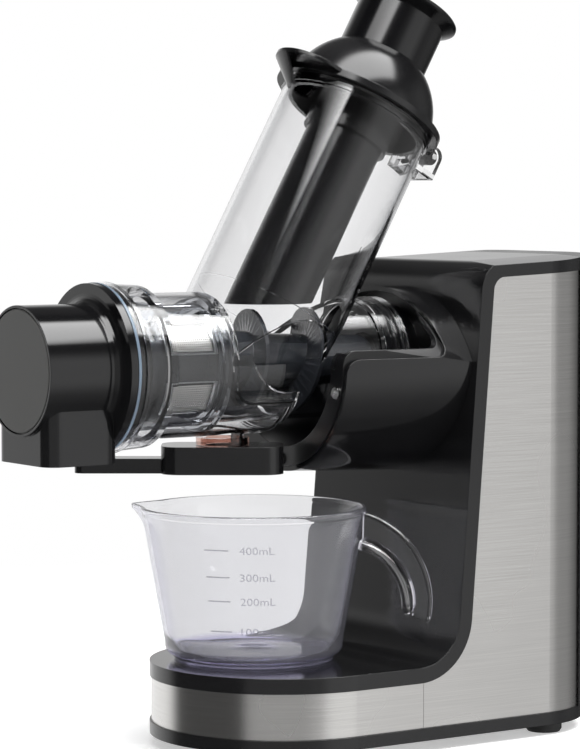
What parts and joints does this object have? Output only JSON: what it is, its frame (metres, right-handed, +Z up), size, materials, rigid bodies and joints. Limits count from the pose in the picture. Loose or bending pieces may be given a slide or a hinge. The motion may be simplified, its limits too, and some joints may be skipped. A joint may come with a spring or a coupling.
{
  "type": "cold press juicer",
  "caption": "Horizontal cold press juicer: clear slanted feed chute and chamber with auger and strainer on a steel-sided motor tower, with a clear jug on the base.",
  "frame": {"origin": "middle of the object's bounding box seen from above, on the surface that it stands on", "axes": "+X from the pulp outlet to the motor tower, +Y away from the side that the jug's handle is on, +Z up"},
  "size_m": [0.3263, 0.136, 0.3939],
  "materials": {
    "gloss_black": "gloss black moulding",
    "satin_black": "satin black moulding",
    "end_grey": "fine satin dark grey",
    "steel": "brushed stainless sheet",
    "bright_steel": "bright zinc-plated steel",
    "clear": "clear polished plastic",
    "jug_clear": "clear plastic with a faint violet tint",
    "foot_rubber": "matt rubber",
    "seal_rubber": "orange-brown silicone",
    "gasket": "translucent bluish silicone",
    "auger_grey": "smooth grey moulding",
    "strainer_grey": "smooth grey moulding",
    "mesh_steel": "perforated stainless sheet",
    "nylon": "natural nylon",
    "bronze": "sintered bronze",
    "copper": "copper",
    "motor_steel": "plain drawn steel",
    "ferrite": "ferrite",
    "plate_steel": "pressed steel plate",
    "board": "green circuit board"
  },
  "bodies": {
    "housing": {"bottom_cover": "satin_black", "rubber_feet": "foot_rubber", "base_screws": "bright_steel", "front_band": "steel", "side_panel_near": "steel", "side_panel_far": "steel", "main_housing": "gloss_black", "rear_cover": "satin_black", "rear_screws": "bright_steel", "dock_drum": "gloss_black", "dock_liner": "satin_black", "dock_screws": "bright_steel", "dock_seals": "seal_rubber", "gearbox_front_plate": "plate_steel", "gearbox_rear_plate": "plate_steel", "gearbox_posts": "bright_steel", "gearbox_screws": "bright_steel", "shaft_bushes": "bronze", "motor_can": "motor_steel", "motor_magnets": "ferrite", "motor_end_cap": "satin_black", "carbon_brushes": "ferrite", "control_board": "board", "switch_housing": "satin_black", "cord_inlet": "satin_black"},
    "rocker": {"rocker": "gloss_black"},
    "motor_rotor": {"rotor_shaft": "bright_steel", "armature": "copper", "commutator": "copper", "motor_pinion": "bright_steel", "cooling_fan": "nylon"},
    "first_stage": {"first_shaft": "bright_steel", "first_gear": "nylon", "second_pinion": "bright_steel"},
    "second_stage": {"second_shaft": "bright_steel", "second_gear": "nylon", "third_pinion": "bright_steel"},
    "drive": {"output_shaft": "bright_steel", "output_gear": "nylon"},
    "chamber": {"juice_chamber": "clear", "feed_chute": "clear", "spout_seal": "seal_rubber", "strainer_frame": "strainer_grey", "strainer_mesh": "mesh_steel", "pulp_cap": "gloss_black", "cap_disc": "end_grey", "cap_gasket": "gasket", "auger_bush": "nylon", "hinge_pin": "bright_steel", "lever_screw": "bright_steel"},
    "auger": {"auger": "auger_grey"},
    "drip_lever": {"drip_lever": "gloss_black"},
    "lid": {"feed_lid": "gloss_black"},
    "pusher": {"pusher": "satin_black"},
    "jug": {"juice_jug": "jug_clear"}
  },
  "joints": [
    {"name": "motor_spin", "type": "hinge", "parent": "housing", "child": "motor_rotor", "pos_m": [0.13, 0, 0.09565], "axis": [1, 0, 0], "continuous": true},
    {"name": "first_spin", "type": "hinge", "parent": "housing", "child": "first_stage", "pos_m": [0.095, 0, 0.12125], "axis": [1, 0, 0], "continuous": true},
    {"name": "second_spin", "type": "hinge", "parent": "housing", "child": "second_stage", "pos_m": [0.09, 0, 0.15325], "axis": [1, 0, 0], "continuous": true},
    {"name": "drive_spin", "type": "hinge", "parent": "housing", "child": "drive", "pos_m": [0.08, 0, 0.197], "axis": [1, 0, 0], "continuous": true},
    {"name": "chamber_slide", "type": "slide", "parent": "housing", "child": "chamber", "axis": [-1, 0, 0], "range_m": [0, 0.07]},
    {"name": "auger_spin", "type": "hinge", "parent": "chamber", "child": "auger", "pos_m": [-0.04, 0, 0.197], "axis": [1, 0, 0], "continuous": true},
    {"name": "lever_turn", "type": "hinge", "parent": "chamber", "child": "drip_lever", "pos_m": [-0.0445, 0, 0.148], "axis": [0, 0, 1], "range_deg": [-60, 0]},
    {"name": "lid_hinge", "type": "hinge", "parent": "chamber", "child": "lid", "pos_m": [0.08197, 0, 0.30192], "axis": [0, 1, 0], "range_deg": [0, 7]},
    {"name": "pusher_slide", "type": "slide", "parent": "lid", "child": "pusher", "axis": [0.4955, 0, 0.8686], "range_m": [0, 0.145]},
    {"name": "jug_slide", "type": "slide", "parent": "housing", "child": "jug", "axis": [0, -1, 0], "range_m": [0, 0.14]},
    {"name": "rocker_tilt", "type": "hinge", "parent": "housing", "child": "rocker", "pos_m": [0.1586, 0, 0.05], "axis": [0, 1, 0], "range_deg": [-10, 10]}
  ],
  "couplings": [
    {"joint": "first_spin", "follows": "motor_spin", "ratio": -0.28},
    {"joint": "second_spin", "follows": "motor_spin", "ratio": 0.0784},
    {"joint": "drive_spin", "follows": "motor_spin", "ratio": -0.0196},
    {"joint": "auger_spin", "follows": "motor_spin", "ratio": -0.0196}
  ]
}
